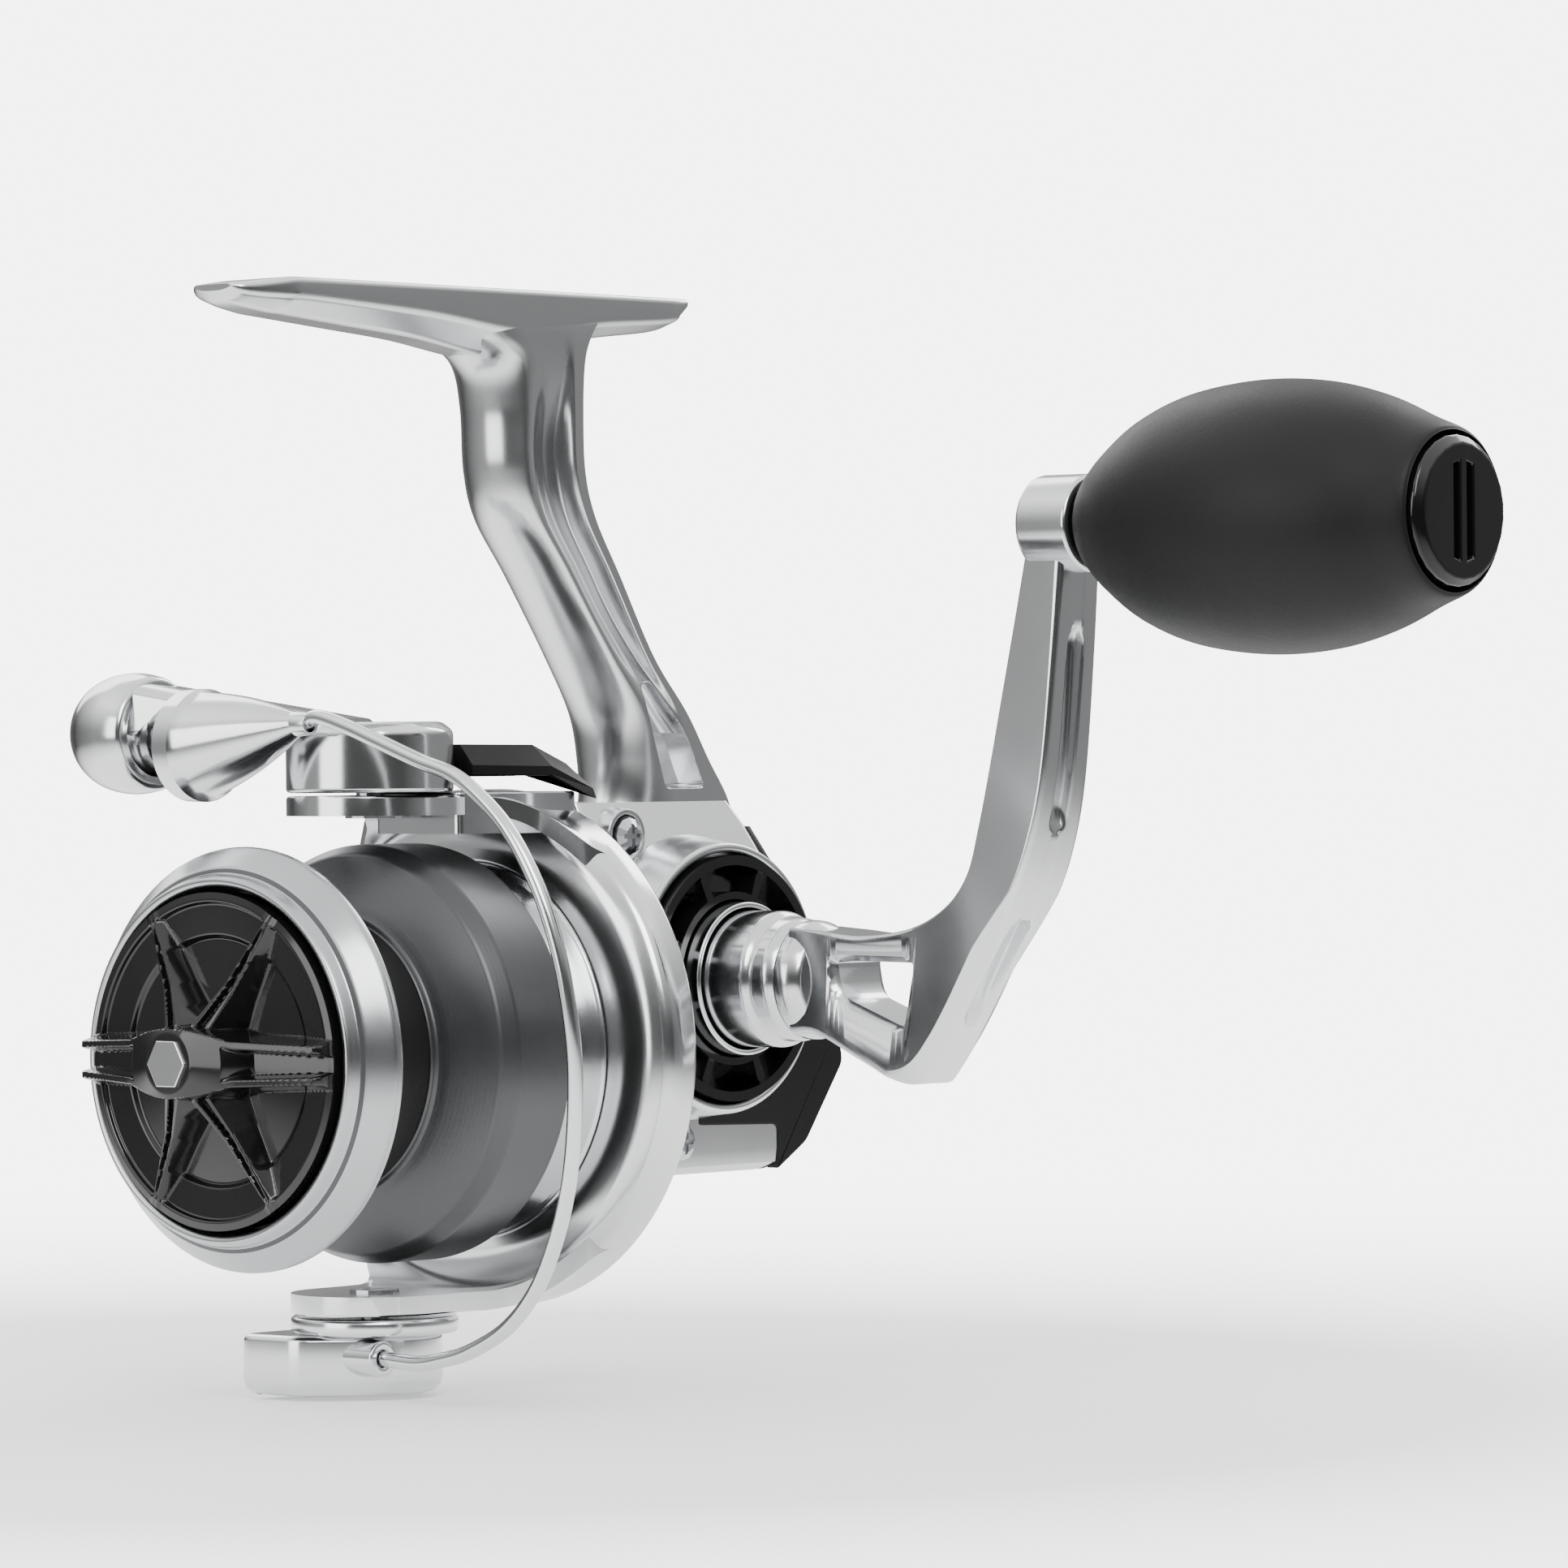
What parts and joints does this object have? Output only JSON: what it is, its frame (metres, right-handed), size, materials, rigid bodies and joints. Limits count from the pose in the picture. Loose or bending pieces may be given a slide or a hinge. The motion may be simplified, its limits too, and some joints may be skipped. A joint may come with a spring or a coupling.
{
  "type": "spinning fishing reel",
  "caption": "Fixed-spool fishing reel with a chromed rotor and wire bail, dark spool, front drag knob, left-side cranked handle with an egg-shaped knob, and a rod foot on a curved stem.",
  "frame": {"origin": "seat point in the middle of the flat top of the rod foot", "axes": "+Z out of the foot's flat top towards the rod, +X along the spool axis from the nose towards the rear of the case, -Y towards the handle"},
  "size_m": [0.094, 0.1438, 0.1162],
  "materials": {
    "chrome": "mirror chrome plating",
    "polished": "polished and clear coated",
    "steel": "machined",
    "brass": "machined",
    "spool_grey": "dark grey anodised, satin",
    "gloss_black": "gloss",
    "satin_black": "satin",
    "soft_black": "soft matt",
    "felt": "oiled felt",
    "nylon": "natural nylon"
  },
  "bodies": {
    "body": {"body_housing": "polished", "side_cover": "polished", "rear_cover": "satin_black", "cover_screw_top": "steel", "cover_screw_bottom": "steel", "cover_screw_rear": "steel", "castle_ring": "gloss_black", "seal_ring": "chrome", "drive_bearing_near": "steel", "drive_bearing_far": "steel", "far_side_cap": "satin_black", "pinion_bearing_front": "steel", "pinion_bush_rear": "nylon", "clutch_outer": "steel", "clutch_cage": "nylon", "guide_rod_upper": "steel", "guide_rod_lower": "steel"},
    "drive": {"drive_gear": "brass", "drive_shaft": "steel", "handle_arm": "chrome", "handle_collar": "chrome", "handle_stub": "steel", "knob_shaft": "steel"},
    "knob": {"handle_knob": "soft_black", "knob_end_cap": "gloss_black", "knob_bearing": "steel"},
    "rotor": {"rotor": "chrome", "rotor_nut": "brass", "arm_trim": "satin_black", "bail_pivot_screw_upper": "steel", "bail_pivot_screw_lower": "steel", "bail_spring": "steel", "pinion_gear": "brass", "clutch_sleeve": "steel"},
    "kick": {"kick_rod": "steel"},
    "bail": {"bail_arm": "chrome", "bail_cone": "chrome", "bail_wire": "chrome", "bail_lever": "chrome"},
    "roller": {"line_roller": "chrome", "roller_bearing": "steel"},
    "oscillation": {"oscillation_gear": "nylon"},
    "spool_shaft": {"main_shaft": "steel", "oscillation_slider": "steel", "drag_washer_keyed": "steel", "drag_pressure_plate": "steel", "spool_support_washer": "nylon"},
    "spool": {"spool": "spool_grey", "arbor_band": "soft_black", "drag_washer_felt_rear": "felt", "drag_washer_felt_middle": "felt", "drag_washer_eared": "steel", "drag_retaining_clip": "steel", "click_gear": "nylon"},
    "drag_carrier": {"drag_spring": "steel"},
    "drag_knob": {"drag_knob": "gloss_black", "drag_knob_badge": "chrome", "drag_nut": "brass"}
  },
  "joints": [
    {"name": "handle_turn", "type": "hinge", "parent": "body", "child": "drive", "pos_m": [0.043, 0, -0.07364], "axis": [0, 1, 0], "continuous": true},
    {"name": "knob_spin", "type": "hinge", "parent": "drive", "child": "knob", "pos_m": [0.043, -0.09, -0.02614], "axis": [0, 1, 0], "continuous": true},
    {"name": "rotor_spin", "type": "hinge", "parent": "body", "child": "rotor", "pos_m": [0, 0, -0.0807], "axis": [1, 0, 0], "continuous": true},
    {"name": "kick_rod_slide", "type": "slide", "parent": "rotor", "child": "kick", "axis": [1, 0, 0], "range_m": [0, 0.0025]},
    {"name": "bail_flip", "type": "hinge", "parent": "rotor", "child": "bail", "pos_m": [0.0052, 0, -0.0807], "axis": [0, 0, 1], "range_deg": [-95, 0]},
    {"name": "line_roller_spin", "type": "hinge", "parent": "bail", "child": "roller", "pos_m": [-0.007, 0.018, -0.0474], "axis": [0, 1, 0], "continuous": true},
    {"name": "oscillation_turn", "type": "hinge", "parent": "body", "child": "oscillation", "pos_m": [0.05307, 0.006, -0.0807], "axis": [0, 1, 0], "continuous": true},
    {"name": "spool_stroke", "type": "slide", "parent": "body", "child": "spool_shaft", "axis": [1, 0, 0], "range_m": [-0.005, 0.005]},
    {"name": "spool_drag_turn", "type": "hinge", "parent": "spool_shaft", "child": "spool", "pos_m": [0, 0, -0.0807], "axis": [1, 0, 0], "continuous": true},
    {"name": "drag_knob_advance", "type": "slide", "parent": "spool_shaft", "child": "drag_carrier", "axis": [1, 0, 0], "range_m": [-0.0007, 0.0007]},
    {"name": "drag_knob_turn", "type": "hinge", "parent": "drag_carrier", "child": "drag_knob", "pos_m": [0, 0, -0.0807], "axis": [1, 0, 0], "range_deg": [-360, 360]}
  ],
  "couplings": [
    {"joint": "rotor_spin", "follows": "handle_turn", "ratio": -5.2857},
    {"joint": "oscillation_turn", "follows": "handle_turn", "ratio": -0.46429},
    {"joint": "kick_rod_slide", "follows": "bail_flip", "m_per_rad": -0.001507},
    {"joint": "drag_knob_advance", "follows": "drag_knob_turn", "m_per_rad": 0.000111}
  ]
}
